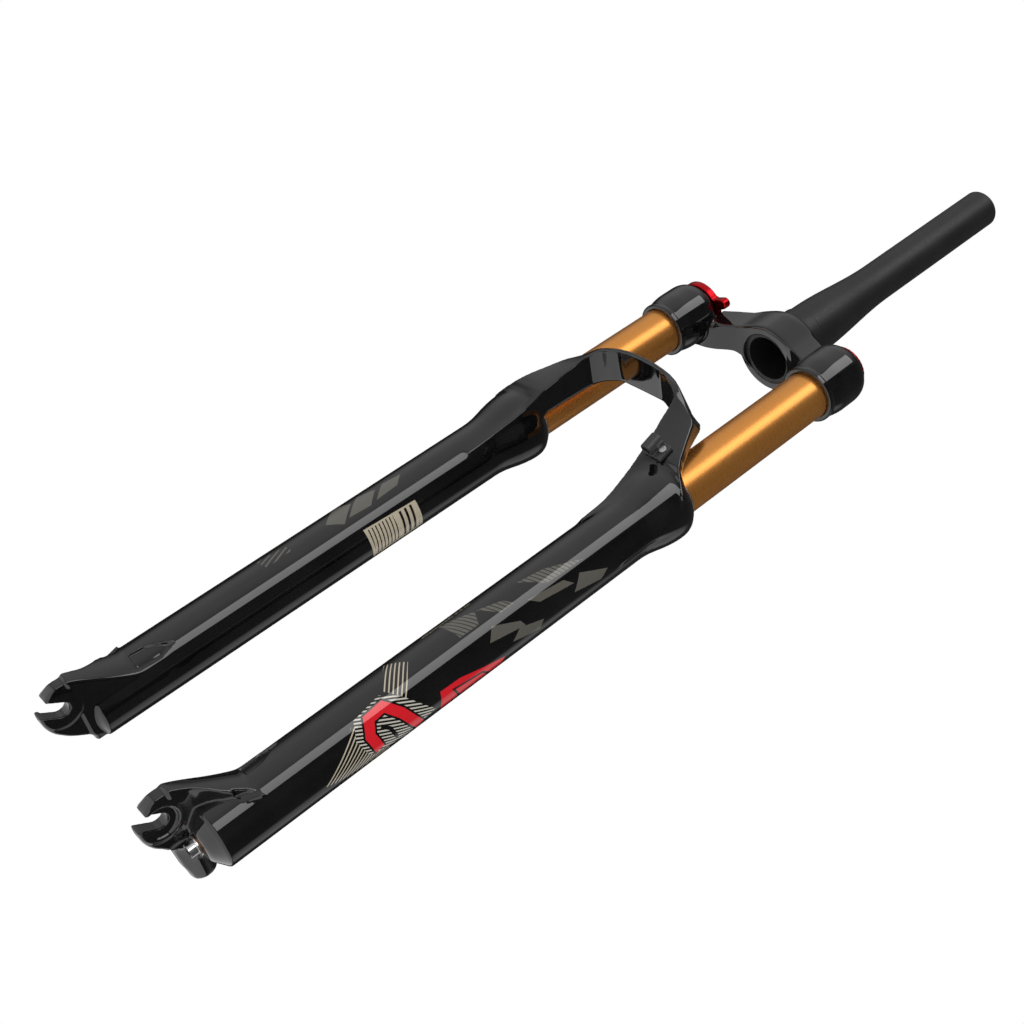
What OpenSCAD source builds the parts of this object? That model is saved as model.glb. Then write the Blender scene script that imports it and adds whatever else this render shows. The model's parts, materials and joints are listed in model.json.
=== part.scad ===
// Air-sprung suspension fork with a tapered steerer, a lockout and 9 mm open dropouts.
// Frame: origin at the centre of the crown race seat, +Z up the steerer, +Y to the front
// of the bicycle, +X to the rider's right. Millimetres.

/* [Overall] */
// Crown race seat down to the wheel axle, along the steerer
axle_to_crown = 538; // [505:1:560]
// Distance between the two stanchion axes
leg_spacing = 128; // [124:1:136]
// How far the stanchion axes stand in front of the steerer axis
stanchion_offset = 18; // [16:0.5:20]
// How far the wheel axle stands in front of the stanchion axes
dropout_offset = 22; // [20:0.5:24]
// Distance between the inner faces of the dropouts
hub_width = 100; // [98:1:102]

/* [Steerer] */
// Outer diameter of the straight upper part
steerer_d = 28.6; // [28.4:0.1:28.8]
// Outer diameter at the crown race seat
race_d = 39.8; // [39:0.1:40]
// Length above the crown race seat
steerer_l = 220; // [150:5:300]
// Bore of the straight upper part
steerer_bore_d = 24; // [22:0.1:25]
// Bore at the lower end
steerer_low_bore_d = 32.6; // [31:0.1:33]

/* [Stanchions] */
// Outer diameter of a stanchion
stanchion_d = 32; // [31.9:0.1:32]
// Wall thickness of a stanchion
stanchion_wall = 2; // [1.6:0.1:2.2]
// Height of a stanchion's lower end above the axle when the fork is extended
stanchion_low = 190; // [180:1:200]

/* [Crown] */
// Outer diameter of the boss around the steerer
boss_d = 50; // [46:1:52]
// Widest diameter of a stanchion socket
socket_d = 41.8; // [41:0.2:44]
// Height of a socket
socket_h = 38; // [34:0.5:40]

/* [Lowers] */
// Outer diameter of a lower leg just under its bulge
leg_d = 38.4; // [38:0.2:40]
// Outer diameter of a lower leg at its foot
foot_d = 37.6; // [37:0.2:39]
// Widest diameter of the bulge around the seals
bulge_d = 48; // [47:0.2:50]
// Height of the legs' upper rims above the axle
lip_z = 344; // [340:1:349]
// Height of the arch's underside above the axle
arch_z = 392; // [386:1:396]
// Thickness of the dropout plates
dropout_t = 8; // [6:0.5:9]
// Width of the dropout slots, for a 9 mm axle
slot_w = 9.4; // [9.2:0.1:10]
// Distance between the two disc brake post holes
post_spacing = 74.2; // [74.2:0.1:74.3]

/* [Controls] */
// Diameter of the lockout knob
knob_d = 34.4; // [32:0.2:36]
// Diameter of the air valve's cap
air_cap_d = 30.4; // [29:0.2:32]

/* [Hidden] */
$fn = 96;
hull_fn = 32;
fit_gap = 0.04;      // radial gap of pieces that are fixed in one another
run_gap = 0.05;      // radial gap of pieces that slide or turn
leg_x = leg_spacing / 2;
stanchion_r = stanchion_d / 2;
bore_r = stanchion_r - stanchion_wall;
foot_r = foot_d / 2;
leg_r = leg_d / 2;
bulge_r = bulge_d / 2;
socket_r = socket_d / 2;
boss_r = boss_d / 2;
race_r = race_d / 2;
slot_r = slot_w / 2;

// Heights measured from the crown race seat
socket_top = -27;
socket_low = socket_top - socket_h;
boss_top = 0;
boss_low = -28.5;
stanchion_top = -32.5;

// Heights measured from the axle
leg_low = 10;
foot_cone_z = 16.5;
bulge_low = 303;
bulge_mid = lip_z - 9;
cavity_low = 34;
liner_r = 17.6;       // inner radius of the lower legs
seal_r = 20.5;        // outer radius of the wiper seals
seal_seat_z = lip_z - 11;
low_bush_z = 205;
bush_l = 20;
foam_l = 12;
foam_z = seal_seat_z - foam_l - 0.4;
up_bush_z = foam_z - bush_l - 0.4;
piston_z = stanchion_low + 33;
head_l = 18;
shaft_r = 5;
post_z = 9.5;
post_x = -52;
post_r = 6.8;
post_face_y = -31;
guide_x = -54.5;
guide_y = 28.8;
guide_z = 350;
guide_tilt = -18.5;   // leans the hose guide back with the arch's front face
guide_seat = -0.2;    // depth of the flat the guide sits on
guide_screw_x = -4.7; // the screw, sideways from the guide's middle
hose_x = 2.6;         // the hose's axis, sideways from the guide's middle
hose_y = 5.2;         // and in front of the arch's face
lever_a = 158;        // direction of the lockout lever from +X
slot_a = -55;         // direction of the dropout slots' mouth from +Y

// ---------- helpers ----------

module right_leg() translate([leg_x, stanchion_offset, 0]) children();
module left_leg() translate([-leg_x, stanchion_offset, 0]) children();
module from_axle() translate([0, 0, -axle_to_crown]) children();
module both_legs() {
    right_leg() children();
    left_leg() children();
}

// A ring about the Z axis between two radii
module ring(r_in, r_out, z, h) {
    translate([0, 0, z]) difference() {
        cylinder(r = r_out, h = h);
        translate([0, 0, -1]) cylinder(r = r_in, h = h + 2);
    }
}

// A round wire bent to a ring
module hoop(r, wire_r, z) {
    translate([0, 0, z]) rotate_extrude() translate([r, 0]) circle(r = wire_r, $fn = 24);
}

// An outline in the Y-Z plane, extruded along X from x
module side_plate(x, t) {
    translate([x, 0, 0]) rotate([90, 0, 90]) linear_extrude(t) children();
}

// An outline in the X-Z plane, extruded along Y from y_back to y_front
module front_plate(y_back, y_front) {
    translate([0, y_front, 0]) rotate([90, 0, 0]) linear_extrude(y_front - y_back) children();
}

// A smooth step from 0 to 1
function ease(t) = (1 - cos(180 * max(0, min(1, t)))) / 2;

// ---------- crown and steerer ----------

// Outer radius of the steerer at height z above the race seat
taper_low = 14;
taper_high = 92;
function steerer_r(z) = steerer_d / 2 + (19 - steerer_d / 2) * (1 - ease((z - taper_low) / (taper_high - taper_low)));

module steerer_tube() color([0.07, 0.07, 0.075]) {
    taper = [for (i = [0 : 12]) let (z = taper_low + (taper_high - taper_low) * i / 12) [steerer_r(z), z]];
    wall_taper = [for (i = [0 : 12]) let (z = taper_high - (taper_high - taper_low) * i / 12)
        [steerer_bore_d / 2 + (steerer_low_bore_d - steerer_bore_d) / 2
            * (1 - ease((z - taper_low) / (taper_high - taper_low))), z]];
    rotate_extrude() polygon(concat(
        [[19.2, boss_low + 0.5], [19.2, 0], [race_r, 0], [race_r, 9], [19, 10]],
        taper,
        [[steerer_d / 2, steerer_l - 1], [steerer_d / 2 - 1, steerer_l],
         [steerer_bore_d / 2, steerer_l]],
        wall_taper,
        [[steerer_low_bore_d / 2, boss_low + 0.5]]
    ));
}

// Barrel-shaped socket, as a half outline
socket_outline = concat(
    [[stanchion_r + fit_gap, socket_low], [18.9, socket_low], [19.5, socket_low + 0.6],
     [19.5, socket_low + 3.4], [19, socket_low + 4]],
    [for (i = [0 : 6]) let (t = i / 6) [19 + (socket_r - 19) * sin(90 * t), socket_low + 4.5 + 13.5 * t]],
    [for (i = [0 : 6]) let (t = i / 6)
        [17.4 + (socket_r - 17.4) * cos(90 * t), socket_top - 10 + 10 * sin(90 * t)]],
    [[stanchion_r + 0.7, socket_top], [stanchion_r + 0.7, stanchion_top],
     [stanchion_r + fit_gap, stanchion_top]]
);

module crown_arms() {
    // front view, then plan view, of the beam that joins boss and sockets
    front = concat(
        [[0, boss_low], [22, boss_low - 1.5], [36, boss_low - 6.5], [50, boss_low - 12], [56, boss_low - 13]],
        [[56, socket_top + 4], [50, socket_top + 5.5], [45, socket_top + 7.5], [36, socket_top + 12.6],
         [26, socket_top + 16.6], [20, socket_top + 20], [0, boss_top - 6]]);
    plan = [[0, 23], [14, 20.5], [26, 18.6], [38, 18], [56, 18], [56, -5], [44, -4], [30, -2.2],
            [22, -3.5], [15, -9], [0, -12]];
    for (s = [0, 1]) mirror([s, 0, 0]) intersection() {
        front_plate(-30, 40) polygon(front);
        translate([0, 0, -70]) linear_extrude(80) polygon(plan);
    }
}

module crown() color([0.03, 0.03, 0.032]) difference() {
    union() {
        rotate_extrude() polygon([[0, boss_low], [boss_r - 1.2, boss_low], [boss_r, boss_low + 1.2],
            [boss_r, boss_top - 9], [boss_r - 1.2, boss_top - 6], [race_r + 1, boss_top], [0, boss_top]]);
        crown_arms();
        both_legs() rotate_extrude() polygon(socket_outline);
    }
    translate([0, 0, boss_low - 1]) cylinder(r = 19.2 + fit_gap, h = 40);
    both_legs() translate([0, 0, socket_low - 1]) cylinder(r = stanchion_r + fit_gap, h = socket_h + 2);
    both_legs() translate([0, 0, stanchion_top]) cylinder(r = stanchion_r + 0.7, h = 12);
    // room for the knob and the air cap above the sockets
    both_legs() translate([0, 0, socket_top]) cylinder(r = knob_d / 2 + 0.8, h = 20);
}

module stanchion() {
    color([0.83, 0.55, 0.22]) difference() {
        z_low = stanchion_low - axle_to_crown;
        translate([0, 0, z_low]) cylinder(r = stanchion_r, h = stanchion_top - z_low);
        translate([0, 0, z_low - 1]) cylinder(r = bore_r, h = stanchion_top - z_low + 2);
        hoop_z = z_low + 2.5;
        ring(bore_r - 1, bore_r + 0.9, hoop_z, 1.5);
    }
}
module stanchion_right() right_leg() stanchion();
module stanchion_left() left_leg() stanchion();

// ---------- damper side top ----------

cap_low = stanchion_top - 16;
knob_z = socket_top + 0.3;

module damper_top_cap() color([0.12, 0.12, 0.13]) right_leg() difference() {
    union() {
        translate([0, 0, cap_low]) cylinder(r = bore_r - fit_gap, h = -cap_low + stanchion_top);
        translate([0, 0, stanchion_top]) cylinder(r = stanchion_r + 0.6, h = 4.6);
        translate([0, 0, cap_low - 6]) cylinder(r = 7, h = 8);
    }
    translate([0, 0, cap_low - 7]) cylinder(r = 2.5 + run_gap, h = 40);
    translate([0, 0, cap_low - 7]) cylinder(r = 4 + fit_gap, h = 9);
    translate([0, 0, stanchion_top - 6]) ring(bore_r - 1.4, bore_r + 2, 0, 2.2);
    rotate([0, 0, lever_a]) translate([9, 0, stanchion_top + 2.2]) cylinder(r = 1.55, h = 4, $fn = 32);
}

module lockout_knob() color([0.75, 0.04, 0.07]) right_leg() translate([0, 0, knob_z]) difference() {
    union() {
        rotate_extrude() polygon([[0, 0], [knob_d / 2 - 0.6, 0], [knob_d / 2, 0.6], [knob_d / 2, 4.2],
            [knob_d / 2 - 1.4, 5.4], [12, 5.8], [0, 5.8]]);
        rotate([0, 0, lever_a]) hull() {
            translate([11, 0, 0.4]) cylinder(r = 4.6, h = 5, $fn = hull_fn);
            translate([23.6, 0, 0.4]) cylinder(r = 3.6, h = 6.1, $fn = hull_fn);
        }
    }
    translate([0, 0, -1]) cylinder(r = 2.5 + fit_gap, h = 2.6);
    translate([0, 0, 1]) cylinder(r = 1.5 + fit_gap, h = 6);
    translate([0, 0, 4]) cylinder(r = 3 + fit_gap, h = 5);
}

module knob_screw() color([0.7, 0.7, 0.72]) right_leg() translate([0, 0, knob_z]) difference() {
    union() {
        translate([0, 0, 4]) cylinder(r = 3, h = 1.4);
        translate([0, 0, -3.4]) cylinder(r = 1.5, h = 7.6);
    }
    translate([0, 0, 4.4]) cylinder(r = 1.15, h = 2, $fn = 6);
}

module detent_ball() color([0.8, 0.8, 0.82]) right_leg() rotate([0, 0, lever_a])
    translate([9, 0, stanchion_top + 3.75]) sphere(r = 1.5, $fn = 48);

rod_low = stanchion_top - 112;

// Turns inside the fixed compression rod and carries the rotary valve
module lockout_rod() color([0.7, 0.7, 0.72]) right_leg() difference() {
    translate([0, 0, rod_low]) cylinder(r = 2.5, h = knob_z + 1.4 - rod_low);
    translate([0, 0, knob_z - 3.5]) cylinder(r = 1.5 + fit_gap, h = 8);
}

module compression_rod() color([0.72, 0.72, 0.74]) right_leg()
    ring(2.5 + run_gap, 4, rod_low + 14, cap_low + 2 - rod_low - 14);

module compression_valve() color([0.78, 0.7, 0.3]) right_leg() translate([0, 0, rod_low]) difference() {
    translate([0, 0, 4]) cylinder(r = bore_r - 0.3, h = 14);
    translate([0, 0, 3]) cylinder(r = 2.5 + run_gap, h = 20);
    translate([0, 0, 14]) cylinder(r = 4 + fit_gap, h = 6);
    for (a = [0 : 90 : 270]) rotate([0, 0, a]) translate([8.5, 0, 3]) cylinder(r = 2, h = 16, $fn = 32);
    translate([0, 0, 9]) ring(bore_r - 2, bore_r + 1, 0, 2.4);
}

module compression_valve_oring() color([0.05, 0.05, 0.05]) right_leg()
    hoop(bore_r - 1.1, 0.85, rod_low + 10.2);

// Disc with two windows that opens or shuts the compression ports
module rotary_valve() color([0.75, 0.75, 0.78]) right_leg() translate([0, 0, rod_low]) difference() {
    translate([0, 0, 0.5]) cylinder(r = 11.5, h = 3.3);
    cylinder(r = 2.5 + fit_gap, h = 5);
    for (a = [0, 180]) rotate([0, 0, a]) translate([8.5, 0, -1]) cylinder(r = 2.2, h = 6, $fn = 32);
}

// ---------- air side top ----------

stem_top = stanchion_top + 2.6;

module air_top_cap() color([0.12, 0.12, 0.13]) left_leg() difference() {
    union() {
        translate([0, 0, cap_low]) cylinder(r = bore_r - fit_gap, h = -cap_low + stanchion_top);
        translate([0, 0, stanchion_top]) cylinder(r = stanchion_r + 0.6, h = 4.6);
    }
    translate([0, 0, cap_low - 1]) cylinder(r = 4 + fit_gap, h = 40);
    translate([0, 0, stanchion_top - 8]) cylinder(r = 9.5, h = 20);
    translate([0, 0, stanchion_top - 6]) ring(bore_r - 1.4, bore_r + 2, 0, 2.2);
}

module top_cap_orings() color([0.05, 0.05, 0.05]) both_legs() hoop(bore_r - 0.65, 0.6, stanchion_top - 4.9);

module valve_stem() color([0.78, 0.62, 0.3]) left_leg() difference() {
    union() {
        translate([0, 0, cap_low - 3]) cylinder(r = 5.5, h = 3, $fn = 6);
        translate([0, 0, cap_low]) cylinder(r = 4, h = stem_top - cap_low);
    }
    translate([0, 0, cap_low - 4]) cylinder(r = 1.6, h = 10);
    translate([0, 0, cap_low + 3]) cylinder(r = 2.6 + fit_gap, h = 30);
}

module valve_core() color([0.85, 0.8, 0.6]) left_leg()
    ring(1 + run_gap, 2.6, cap_low + 3.2, stem_top - cap_low - 5);

module valve_pin() color([0.8, 0.8, 0.82]) left_leg() {
    translate([0, 0, cap_low + 1]) cylinder(r = 1, h = stem_top - 0.6 - cap_low - 1);
    translate([0, 0, cap_low + 0.6]) cylinder(r = 1.4, h = 2.4);
}

module air_valve_cap() color([0.75, 0.04, 0.07]) left_leg() translate([0, 0, socket_top + 0.3]) difference() {
    union() {
        rotate_extrude() polygon([[0, 0], [air_cap_d / 2 - 0.6, 0], [air_cap_d / 2, 0.4],
            [air_cap_d / 2, 1.2], [air_cap_d / 2 - 1.6, 2.2], [0, 2.6]]);
        translate([0, 0, -9]) cylinder(r = 9, h = 10);
    }
    translate([0, 0, -10]) cylinder(r = 4.3, h = 10.6);
    for (a = [0 : 15 : 345]) rotate([0, 0, a]) translate([air_cap_d / 2 + 0.6, 0, -1])
        cylinder(r = 1.1, h = 6, $fn = 16);
}

// ---------- pieces at the stanchions' lower ends ----------

head_z = stanchion_low + 4;

module seal_head() color([0.15, 0.15, 0.16]) from_axle() difference() {
    translate([0, 0, head_z]) cylinder(r = bore_r - fit_gap, h = head_l);
    translate([0, 0, head_z - 1]) cylinder(r = shaft_r + run_gap, h = head_l + 2);
    translate([0, 0, head_z + 8]) ring(bore_r - 1.4, bore_r + 2, 0, 2.2);
    translate([0, 0, head_z + 12]) ring(0, shaft_r + 1.6, 0, 2.2);
}
module air_seal_head() left_leg() seal_head();
module damper_seal_head() right_leg() seal_head();

// Outer O-rings of the seal heads, and the inner ones that wipe the shafts
module seal_head_orings() color([0.05, 0.05, 0.05]) from_axle() both_legs() {
    hoop(bore_r - 0.7, 0.65, head_z + 9.1);
    hoop(shaft_r + run_gap + 0.75, 0.7, head_z + 13.1);
}

module retaining_rings() color([0.6, 0.6, 0.62]) from_axle() both_legs() difference() {
    ring(11.5, bore_r + 0.8, stanchion_low + 2.6, 1.3);
    translate([0, 14, stanchion_low + 3]) cube([8, 10, 4], center = true);
}

module topout_bumpers() color([0.1, 0.1, 0.1]) from_axle() both_legs()
    rotate_extrude() polygon([[shaft_r + 0.4, head_z + head_l], [10.5, head_z + head_l],
        [11, head_z + head_l + 4], [10, head_z + head_l + 10], [shaft_r + 0.4, head_z + head_l + 10]]);

// ---------- lowers ----------

leg_outline = concat(
    [[0, leg_low], [foot_r - 8.5, leg_low], [foot_r - 0.4, foot_cone_z], [foot_r, foot_cone_z + 0.8],
     [leg_r, bulge_low]],
    [for (i = [1 : 8]) [leg_r + (bulge_r - leg_r) * ease(i / 8), bulge_low + (bulge_mid - bulge_low) * i / 8]],
    [for (i = [1 : 6]) [seal_r + 0.9 + (bulge_r - seal_r - 0.9) * cos(15 * i),
        bulge_mid + (lip_z - bulge_mid) * sin(15 * i)]],
    [[0, lip_z]]
);

// Plate that holds the axle, in the Y-Z plane about the stanchion axis
dropout_outline = [[-11, 16], [-11, 58], [12, 58], [13, 51], [14, 44], [16.7, 38], [20, 32.6], [23.4, 27.7],
    [27.1, 23.1], [30.5, 18.6], [33.6, 13.9], [35.9, 8.9], [36.5, 5], [36.3, 1], [34.9, -2.6], [33.2, -4.8],
    [31.4, -5], [31, -9], [29.5, -11.6], [23.9, -12.2], [16.3, -11.6], [9.7, -8.9], [5.2, -5.3], [1.7, -1.9],
    [-3, 4.3], [-7.7, 11.8]];

module dropout() {
    side_plate(hub_width / 2, dropout_t) polygon(dropout_outline);
    // instep that blends the plate into the leg
    hull() {
        side_plate(hub_width / 2 + 0.6, dropout_t) polygon([[0, 14], [24, 22], [22, 28], [14.5, 41], [11.5, 58]]);
        translate([leg_x, 0, 17]) cylinder(r = foot_r - 1.5, h = 46, $fn = hull_fn);
        translate([leg_x + 0.5, 19.5, 24]) cylinder(r = 4, h = 8, $fn = hull_fn);
    }
}

// Round-ended slot, open to the front and below
module dropout_slot() {
    translate([-80, dropout_offset, 0]) rotate([0, 90, 0]) cylinder(r = slot_r, h = 160);
    translate([-80, dropout_offset, 0]) rotate([slot_a, 0, 0])
        translate([0, 0, -slot_r]) cube([160, 40, slot_w]);
    // seat for the quick-release nut and handle, in the outer faces
    for (s = [0, 1]) mirror([s, 0, 0]) translate([hub_width / 2 + dropout_t - 1.6, dropout_offset, 0])
        rotate([0, 90, 0]) cylinder(r = 11, h = 12);
}

// Three views of the arch, as offsets from its underside's crest and from the stanchion axes.
// Front view: inner edge from the leg up to the crest, then the outer edge down again.
arch_front_view = [
    [leg_x, -107], [leg_x - 12, -107], [leg_x - 12.6, -96], [leg_x - 13.6, -82], [leg_x - 15.6, -69.6],
    [leg_x - 17.2, -59], [leg_x - 18.5, -49], [leg_x - 20.5, -40], [leg_x - 22.8, -30], [leg_x - 24.4, -22],
    [leg_x - 25.6, -15], [leg_x - 27.2, -10.5], [leg_x - 30, -7.2], [leg_x - 35, -4.7], [leg_x - 42, -2],
    [leg_x - 49, -0.5], [0, 0],
    [0, 16], [40, 16], [leg_x + 4, -12], [leg_x + 17, -40], [leg_x + 19, -56],
    [leg_x + 18, -70], [leg_x + 13, -86], [leg_x + 6, -104]];
// Side view: front face from the leg up to the crest, then the top and the back.
arch_side_view = [
    [13, -107], [14.5, -98.3], [15.9, -89], [17.8, -80], [20, -69.6], [23.2, -59], [26.9, -49.3], [29.5, -43],
    [33.5, -31.4], [36, -24], [39, -16], [42, -9.5], [45.4, -4.5], [48.6, -0.5], [49.6, 2.2], [44, 8], [34, 12],
    [26, 12], [21.5, 11], [19, 6], [16, -3], [14.5, -20], [12.5, -40], [9, -52], [9, -107]];
// Top view: front face from the middle outwards, then the back.
arch_top_view = [
    [0, 49.6], [18, 48.8], [25, 47], [30.7, 45.5], [35.4, 43.7], [38.4, 41.8], [42.4, 39], [46, 36.9], [51, 35],
    [55, 33.6], [59, 32.2], [63, 31], [67, 29.5], [70, 28], [73.5, 26], [77.3, 22.8], [81, 17], [83, 9],
    [leg_x, 6], [47, 6], [38.5, 15.5], [31, 20], [20, 22], [0, 22.8]];

// Upper edge of the arch at its back, as heights above its underside's crest. The top face falls
// from there to the front.
arch_slope = 19.3;
arch_back_y = 22.5;
arch_top_edge = [
    [0, 10.3], [24, 9.8], [30, 8], [leg_x - 28.6, 4.9], [leg_x - 21.6, 1.2], [leg_x - 13.2, -3.8],
    [leg_x - 7, -8.4], [leg_x - 4.3, -15], [leg_x - 1.5, -21], [leg_x + 3.1, -31.8], [leg_x + 9.5, -43],
    [leg_x + 13.3, -47], [leg_x + 20, -54], [leg_x + 20, -140], [0, -140]];

// The hose guide's own frame, on the arch's front face
module at_guide() translate([guide_x, guide_y, guide_z]) rotate([guide_tilt, 0, 0]) children();

module arch() {
    intersection() {
        translate([0, 0, arch_z]) for (s = [0, 1]) mirror([s, 0, 0]) front_plate(0, 60) polygon(arch_front_view);
        translate([0, 0, arch_z]) side_plate(-100, 200) polygon(arch_side_view);
        translate([0, 0, 200]) for (s = [0, 1]) mirror([s, 0, 0]) linear_extrude(260) polygon(arch_top_view);
        translate([0, arch_back_y, arch_z]) rotate([-arch_slope, 0, 0]) for (s = [0, 1]) mirror([s, 0, 0])
            front_plate(-80, 80) polygon([for (p = arch_top_edge) [p[0], p[1] * cos(arch_slope)]]);
    }
}

// Two posts behind the left leg for the disc brake caliper
module brake_posts() {
    for (z = [post_z, post_z + post_spacing]) {
        translate([post_x, -8, z]) rotate([90, 0, 0]) cylinder(r = post_r, h = -post_face_y - 8);
    }
    side_plate(post_x - 4, 8) polygon([[4, 3.5], [post_face_y + 4, 4], [post_face_y + 4, 14], [-20, 38],
        [-20, 54], [post_face_y + 4, post_z + post_spacing - 6], [post_face_y + 4, post_z + post_spacing + 6],
        [-4, post_z + post_spacing + 16]]);
}

module lowers() color([0.03, 0.03, 0.032]) from_axle() translate([0, stanchion_offset, 0]) difference() {
    union() {
        for (x = [-leg_x, leg_x]) translate([x, 0, 0]) rotate_extrude() polygon(leg_outline);
        for (s = [0, 1]) mirror([s, 0, 0]) dropout();
        arch();
        brake_posts();
    }
    for (x = [-leg_x, leg_x]) translate([x, 0, 0]) {
        translate([0, 0, cavity_low]) cylinder(r = liner_r, h = seal_seat_z - cavity_low + 1);
        translate([0, 0, seal_seat_z]) cylinder(r = seal_r + fit_gap, h = 60);
        translate([0, 0, 0]) cylinder(r = 4.1, h = 60);
        // keeps the arch clear of the seals, and of the sockets at full travel
        rotate_extrude() polygon([[0, lip_z], [21.3, lip_z], [21.3, lip_z + 2], [22.4, lip_z + 5],
            [22.8, arch_z - 26], [24.2, arch_z - 8], [24.4, arch_z + 20], [0, arch_z + 20]]);
        // spot face for the foot bolt
        translate([0, 0, leg_low - 30]) cylinder(r = 7, h = 30);
    }
    dropout_slot();
    for (z = [post_z, post_z + post_spacing])
        translate([post_x, post_face_y + 16, z]) rotate([90, 0, 0]) cylinder(r = 3, h = 30);
    at_guide() {
        translate([-8, guide_seat, -7]) cube([15.6, 20, 12.4]);
        translate([guide_screw_x, -8, 0]) rotate([-90, 0, 0]) cylinder(r = 1.5 + fit_gap, h = 12, $fn = 32);
    }
}

// ---------- seals and bushings in the lowers ----------

module wiper_seal() color([0.05, 0.05, 0.055]) from_axle() translate([0, 0, lip_z]) rotate_extrude()
    polygon([[seal_r, -11], [seal_r, 0], [seal_r + 0.4, 0.05], [seal_r + 0.4, 1], [19, 1.6], [17.4, 3.4],
        [16.7, 3.5], [stanchion_r + run_gap, 2.6], [stanchion_r + run_gap, 2], [17.4, 0.2],
        [17.4, -5], [stanchion_r + run_gap, -7.5], [stanchion_r + run_gap, -8.3], [17, -11]]);
module wiper_seal_right() right_leg() wiper_seal();
module wiper_seal_left() left_leg() wiper_seal();

// Small springs that press the wiper lips on the stanchions
module garter_springs() color([0.6, 0.6, 0.6]) from_axle() both_legs()
    hoop(18.3, 0.45, lip_z + 3.2);

module foam_ring() color([0.25, 0.25, 0.2]) from_axle()
    ring(stanchion_r + run_gap + 0.1, liner_r - fit_gap, foam_z, foam_l);
module foam_ring_right() right_leg() foam_ring();
module foam_ring_left() left_leg() foam_ring();

module bushing(z) color([0.35, 0.33, 0.28]) from_axle()
    ring(stanchion_r + run_gap, liner_r - fit_gap, z, bush_l);
module upper_bushing_right() right_leg() bushing(up_bush_z);
module upper_bushing_left() left_leg() bushing(up_bush_z);
module lower_bushing_right() right_leg() bushing(low_bush_z);
module lower_bushing_left() left_leg() bushing(low_bush_z);

// ---------- shafts and pistons, fixed to the lowers ----------

shaft_low = leg_low + 10;

module shaft(top) color([0.78, 0.78, 0.8]) from_axle() difference() {
    union() {
        translate([0, 0, cavity_low]) cylinder(r = shaft_r, h = top - cavity_low);
        translate([0, 0, shaft_low]) cylinder(r = 4.1 - fit_gap, h = 30);
    }
    translate([0, 0, shaft_low - 1]) cylinder(r = 2.5 + fit_gap, h = 15);
}

module air_shaft() left_leg() shaft(piston_z + 12);
module damper_shaft() right_leg() shaft(piston_z + 10);

module air_piston() color([0.2, 0.2, 0.22]) left_leg() from_axle() translate([0, 0, piston_z]) difference() {
    cylinder(r = bore_r - run_gap, h = 14);
    translate([0, 0, -1]) cylinder(r = shaft_r + fit_gap, h = 13);
    translate([0, 0, 5]) ring(bore_r - 2.2, bore_r + 2, 0, 3.6);
}

module air_piston_seal() color([0.05, 0.05, 0.05]) left_leg() from_axle()
    ring(bore_r - 2.2 + fit_gap, bore_r - run_gap, piston_z + 5.3, 3);

module bottom_out_bumper() color([0.1, 0.1, 0.1]) left_leg() from_axle() translate([0, 0, piston_z + 14])
    rotate_extrude() polygon([[0, 0], [10, 0], [10.6, 3], [9, 10], [6, 14], [0, 14]]);

module damper_piston() color([0.78, 0.7, 0.3]) right_leg() from_axle() translate([0, 0, piston_z + 2]) difference() {
    cylinder(r = bore_r - 0.3, h = 8);
    translate([0, 0, -1]) cylinder(r = shaft_r + fit_gap, h = 10);
    for (a = [0 : 60 : 300]) rotate([0, 0, a]) translate([8.6, 0, -1]) cylinder(r = 1.5, h = 10, $fn = 24);
    translate([0, 0, 2.4]) ring(bore_r - 1.3, bore_r + 2, 0, 3.2);
}

module piston_band() color([0.3, 0.28, 0.24]) right_leg() from_axle()
    ring(bore_r - 1.3 + fit_gap, bore_r - run_gap, piston_z + 4.6, 2.8);

// Thin steel discs that close the piston's ports from below
module rebound_shims() color([0.7, 0.7, 0.72]) right_leg() from_axle() {
    for (i = [0 : 2]) ring(shaft_r + fit_gap, 11.2 - 1.2 * i, piston_z + 1.6 - 0.4 * i, 0.35);
}

module piston_nut() color([0.7, 0.7, 0.72]) right_leg() from_axle() translate([0, 0, piston_z + 10]) {
    cylinder(r = 7, h = 4, $fn = 6);
}

module foot_bolts() color([0.82, 0.82, 0.84]) from_axle() both_legs() difference() {
    union() {
        translate([0, 0, leg_low - 1.8]) cylinder(r = 6.2, h = 0.8);
        translate([0, 0, leg_low - 6.2]) cylinder(r = 4.2, h = 5.2);
        translate([0, 0, leg_low - 1.2]) cylinder(r = 2.5, h = 20);
    }
    translate([0, 0, leg_low - 7]) cylinder(r = 2.9, h = 5, $fn = 6);
}

module crush_washers() color([0.72, 0.45, 0.25]) from_axle() both_legs()
    ring(2.5 + fit_gap, 6, leg_low - 1, 1);

// ---------- brake hose guide on the arch ----------

module hose_guide() color([0.04, 0.04, 0.04]) from_axle() translate([0, stanchion_offset, 0]) at_guide()
    difference() {
        union() {
            translate([-7.4, guide_seat + fit_gap, -6.4]) cube([13.2, 2.4, 11.2]);
            translate([hose_x, hose_y, -6.4]) cylinder(r = 4.5, h = 11.2, $fn = 48);
        }
        translate([hose_x, hose_y, -10]) cylinder(r = 2.7, h = 20, $fn = 48);
        translate([hose_x - 0.6, hose_y, -10]) cube([1.2, 10, 20]);
        translate([guide_screw_x, -2, 0]) rotate([-90, 0, 0]) cylinder(r = 1.5 + fit_gap, h = 10, $fn = 32);
    }

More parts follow.
